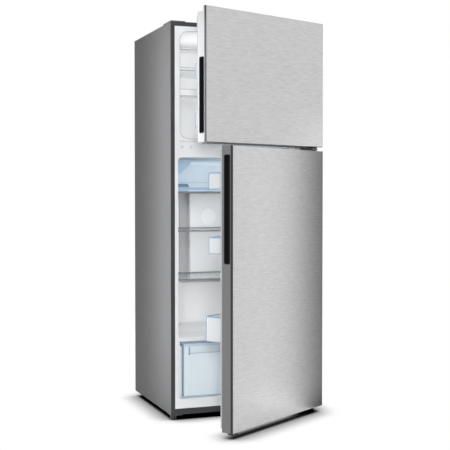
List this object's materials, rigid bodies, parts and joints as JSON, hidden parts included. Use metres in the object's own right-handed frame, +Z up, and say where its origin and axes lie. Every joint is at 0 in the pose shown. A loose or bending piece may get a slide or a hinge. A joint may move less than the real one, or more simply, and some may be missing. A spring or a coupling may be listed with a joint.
{
  "type": "top freezer refrigerator",
  "caption": "Free-standing top freezer refrigerator with brushed steel doors ajar on right-hand hinges, glass shelves, clear drawers and door bins.",
  "frame": {"origin": "on the floor, at the middle of the cabinet's width and midway between the cabinet's back and the free edge of the fridge door as it stands ajar", "axes": "+Z up, +Y from the doors towards the back, +X to the right seen from the front"},
  "size_m": [0.712, 1.0353, 1.7744],
  "materials": {
    "cabinet_paint": "satin grey paint",
    "frame_paint": "satin dark grey paint",
    "back_steel": "zinc grey sheet",
    "base_steel": "galvanised sheet",
    "hinge_steel": "black coated steel",
    "door_steel": "fine horizontal brushing",
    "door_side_light": "light satin moulding",
    "door_side_grey": "grey satin moulding",
    "grip_black": "black satin moulding",
    "foam": "rigid insulating foam",
    "liner_white": "white formed sheet",
    "panel_white": "white moulding",
    "trim_white": "white moulding",
    "trim_clear": "frosted clear moulding",
    "plate_grey": "satin metallic grey",
    "shelf_glass": "toughened glass",
    "lamp_clear": "frosted lens",
    "clear_blue": "clear with a blue tint",
    "clear_crisper": "clear with a pale blue tint",
    "clear_bin": "clear with a pale blue tint",
    "gasket_grey": "soft light grey",
    "cap_grey": "grey moulding",
    "foot_black": "black moulding",
    "black_plastic": "black moulding",
    "rubber_black": "black rubber",
    "compressor_black": "black enamel",
    "copper": "bare copper",
    "aluminium_fins": "bare fins",
    "heater_glass": "quartz tube",
    "fan_grey": "grey moulding",
    "dial_grey": "grey moulding"
  },
  "bodies": {
    "cabinet": {"outer_wrapper": "cabinet_paint", "back_panel": "back_steel", "base_panel": "base_steel", "compressor_base": "base_steel", "cabinet_foam": "foam", "front_frame": "frame_paint", "mullion_rail": "base_steel", "freezer_liner": "liner_white", "fridge_liner": "liner_white", "top_hinge": "hinge_steel", "middle_hinge": "hinge_steel", "bottom_hinge": "hinge_steel", "top_hinge_cover": "cap_grey", "blank_hinge_cover": "cap_grey", "roller_brackets": "base_steel", "compressor": "compressor_black", "compressor_grommets": "rubber_black", "relay_cover": "black_plastic", "drip_tray": "black_plastic", "refrigerant_pipes": "copper", "rear_cover": "back_steel", "freezer_shelf_glass": "shelf_glass", "freezer_shelf_trims": "trim_white", "fridge_shelf_glass": "shelf_glass", "fridge_shelf_trims": "trim_clear", "crisper_cover": "shelf_glass", "crisper_trim": "trim_white", "cooling_plate": "plate_grey", "fridge_duct_panel": "panel_white", "vent_disc": "panel_white", "lamp_lens": "lamp_clear", "freezer_air_panel": "panel_white", "evaporator": "aluminium_fins", "defrost_heater": "heater_glass", "fan_motor": "black_plastic"},
    "freezer_door": {"freezer_door_panel": "door_steel", "freezer_door_frame": "door_side_light", "freezer_door_foam": "foam", "freezer_door_liner": "liner_white", "freezer_door_gasket": "gasket_grey", "freezer_door_grip": "grip_black", "freezer_door_bins": "clear_bin"},
    "fridge_door": {"fridge_door_panel": "door_steel", "fridge_door_frame": "door_side_grey", "fridge_door_foam": "foam", "fridge_door_liner": "liner_white", "fridge_door_gasket": "gasket_grey", "fridge_door_grip": "grip_black", "fridge_door_bins": "clear_bin", "bottle_bin": "clear_bin"},
    "levelling_foot_left_body": {"levelling_foot_left": "foot_black"},
    "levelling_foot_right_body": {"levelling_foot_right": "foot_black"},
    "rear_roller_left_body": {"rear_roller_left": "foot_black"},
    "rear_roller_right_body": {"rear_roller_right": "foot_black"},
    "chiller_drawer_body": {"chiller_drawer": "clear_blue"},
    "crisper_left_body": {"crisper_left": "clear_crisper"},
    "crisper_right_body": {"crisper_right": "clear_crisper"},
    "freezer_dial_body": {"freezer_dial": "dial_grey"},
    "evaporator_fan_body": {"evaporator_fan": "fan_grey"}
  },
  "joints": [
    {"name": "freezer_door_hinge", "type": "hinge", "parent": "cabinet", "child": "freezer_door", "pos_m": [0.33, -0.12076, 1.5], "axis": [0, 0, 1], "range_deg": [-21.1, 98.9]},
    {"name": "fridge_door_hinge", "type": "hinge", "parent": "cabinet", "child": "fridge_door", "pos_m": [0.33, -0.12076, 0.6], "axis": [0, 0, 1], "range_deg": [-33.1, 86.9]},
    {"name": "chiller_drawer_slide", "type": "slide", "parent": "cabinet", "child": "chiller_drawer_body", "axis": [0, -1, 0], "range_m": [0, 0.05]},
    {"name": "crisper_left_slide", "type": "slide", "parent": "cabinet", "child": "crisper_left_body", "axis": [0, -1, 0], "range_m": [0, 0.14]},
    {"name": "crisper_right_slide", "type": "slide", "parent": "cabinet", "child": "crisper_right_body", "axis": [0, -1, 0], "range_m": [0, 0.04]},
    {"name": "levelling_foot_left_turn", "type": "hinge", "parent": "cabinet", "child": "levelling_foot_left_body", "pos_m": [-0.334, -0.06276, 0.01], "axis": [0, 0, 1], "continuous": true},
    {"name": "levelling_foot_right_turn", "type": "hinge", "parent": "cabinet", "child": "levelling_foot_right_body", "pos_m": [0.334, -0.06276, 0.01], "axis": [0, 0, 1], "continuous": true},
    {"name": "rear_roller_left_spin", "type": "hinge", "parent": "cabinet", "child": "rear_roller_left_body", "pos_m": [-0.3, 0.47724, 0.0105], "axis": [1, 0, 0], "continuous": true},
    {"name": "rear_roller_right_spin", "type": "hinge", "parent": "cabinet", "child": "rear_roller_right_body", "pos_m": [0.3, 0.47724, 0.0105], "axis": [1, 0, 0], "continuous": true},
    {"name": "evaporator_fan_spin", "type": "hinge", "parent": "cabinet", "child": "evaporator_fan_body", "pos_m": [0, 0.40724, 1.59], "axis": [0, 1, 0], "continuous": true},
    {"name": "freezer_dial_turn", "type": "hinge", "parent": "cabinet", "child": "freezer_dial_body", "pos_m": [0.15, 0.36324, 1.59], "axis": [0, 1, 0], "range_deg": [-120, 120]}
  ]
}
